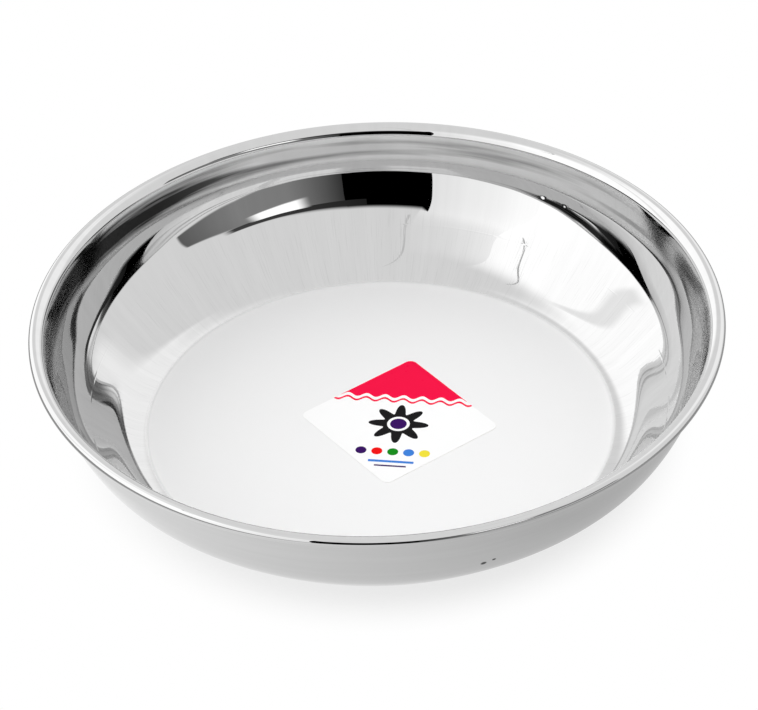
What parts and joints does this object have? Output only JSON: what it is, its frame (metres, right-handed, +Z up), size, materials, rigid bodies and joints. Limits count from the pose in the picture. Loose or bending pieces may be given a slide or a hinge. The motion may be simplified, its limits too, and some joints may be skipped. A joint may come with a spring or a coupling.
{
  "type": "pudding plate",
  "caption": "Round deep serving plate in polished stainless steel with a flared wall, a hollow rolled rim and a square printed label on its floor.",
  "frame": {"origin": "centre of the flat underside", "axes": "+Z up along the dish's axis, +X to the right and +Y away from the viewer of the picture"},
  "size_m": [0.18, 0.18, 0.036],
  "materials": {
    "stainless_steel": "mirror polished wall and rim, satin floor",
    "label_adhesive": "clear acrylic adhesive film",
    "label_film": "glossy printed film in white with crimson, violet, green and blue"
  },
  "bodies": {
    "root": {"plate_body": "stainless_steel", "label_adhesive": "label_adhesive", "label_film": "label_film"}
  },
  "joints": []
}
